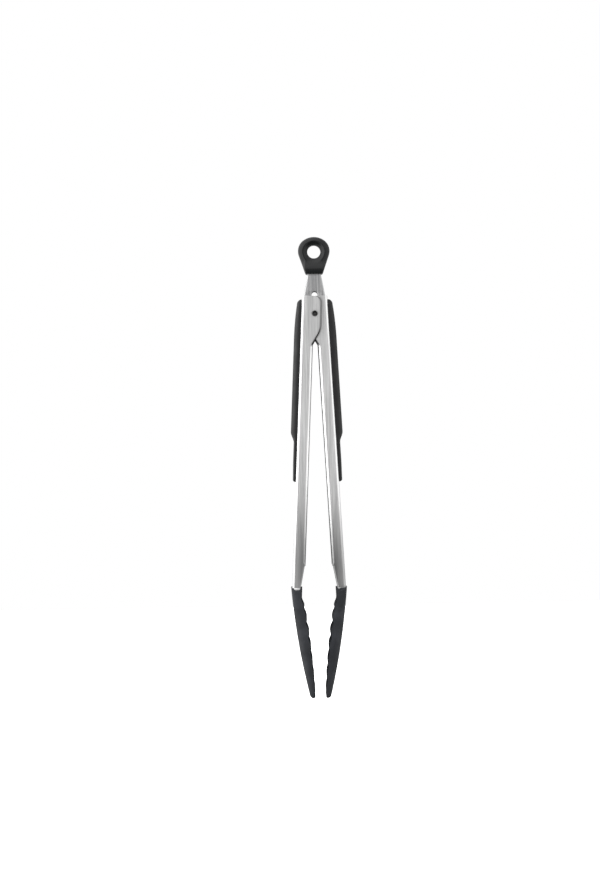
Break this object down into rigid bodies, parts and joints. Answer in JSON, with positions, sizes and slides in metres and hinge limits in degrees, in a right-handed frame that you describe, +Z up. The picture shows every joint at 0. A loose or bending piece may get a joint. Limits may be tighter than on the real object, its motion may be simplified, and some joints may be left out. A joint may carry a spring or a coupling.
{
  "type": "spring loaded kitchen tongs",
  "caption": "Slim spring loaded kitchen tongs with pivoting steel channel arms, soft grips, scalloped silicone heads and a pull-tab lock with hanging loop.",
  "frame": {"origin": "centre of the hanging hole in the loop at the top", "axes": "+Z up along the tongs from the heads to the loop, +Y along the hinge pin and the hanging hole, +X across the way the arms open"},
  "size_m": [0.0422, 0.034, 0.3502],
  "materials": {
    "arm_steel": "brushed lengthwise",
    "tab_steel": "brushed lengthwise",
    "pin_steel": "satin",
    "spring_steel": "drawn wire",
    "grip_rubber": "soft matte",
    "grip_core_plastic": "moulded",
    "head_silicone": "matte silicone",
    "head_core_nylon": "moulded nylon",
    "loop_plastic": "fine satin",
    "bush_plastic": "moulded"
  },
  "bodies": {
    "hanger": {"lock_tab": "tab_steel", "hang_loop": "loop_plastic"},
    "hinge": {"hinge_pin": "pin_steel", "hinge_spacers": "pin_steel", "spring_bush": "bush_plastic", "torsion_spring": "spring_steel"},
    "left_arm": {"left_arm": "arm_steel", "left_grip": "grip_rubber", "left_grip_core": "grip_core_plastic", "left_head": "head_silicone", "left_head_core": "head_core_nylon", "left_head_rivets": "pin_steel"},
    "right_arm": {"right_arm": "arm_steel", "right_grip": "grip_rubber", "right_grip_core": "grip_core_plastic", "right_head": "head_silicone", "right_head_core": "head_core_nylon", "right_head_rivets": "pin_steel"}
  },
  "joints": [
    {"name": "tab_slide", "type": "slide", "parent": "hanger", "child": "hinge", "axis": [0, 0, 1], "range_m": [-0.0008, 0.01262]},
    {"name": "left_arm_pivot", "type": "hinge", "parent": "hinge", "child": "left_arm", "pos_m": [0, 0, -0.0472], "axis": [0, 1, 0], "range_deg": [-0.75, 12], "stiffness_Nm_per_rad": 1.2, "springref_deg": 25.78, "deforming": ["torsion_spring"]},
    {"name": "right_arm_pivot", "type": "hinge", "parent": "hinge", "child": "right_arm", "pos_m": [0, 0, -0.0472], "axis": [0, -1, 0], "range_deg": [-0.76, 12.01]}
  ],
  "couplings": [
    {"joint": "right_arm_pivot", "follows": "left_arm_pivot", "ratio": 1},
    {"joint": "tab_slide", "follows": "left_arm_pivot", "m_per_rad": 0.06016}
  ]
}
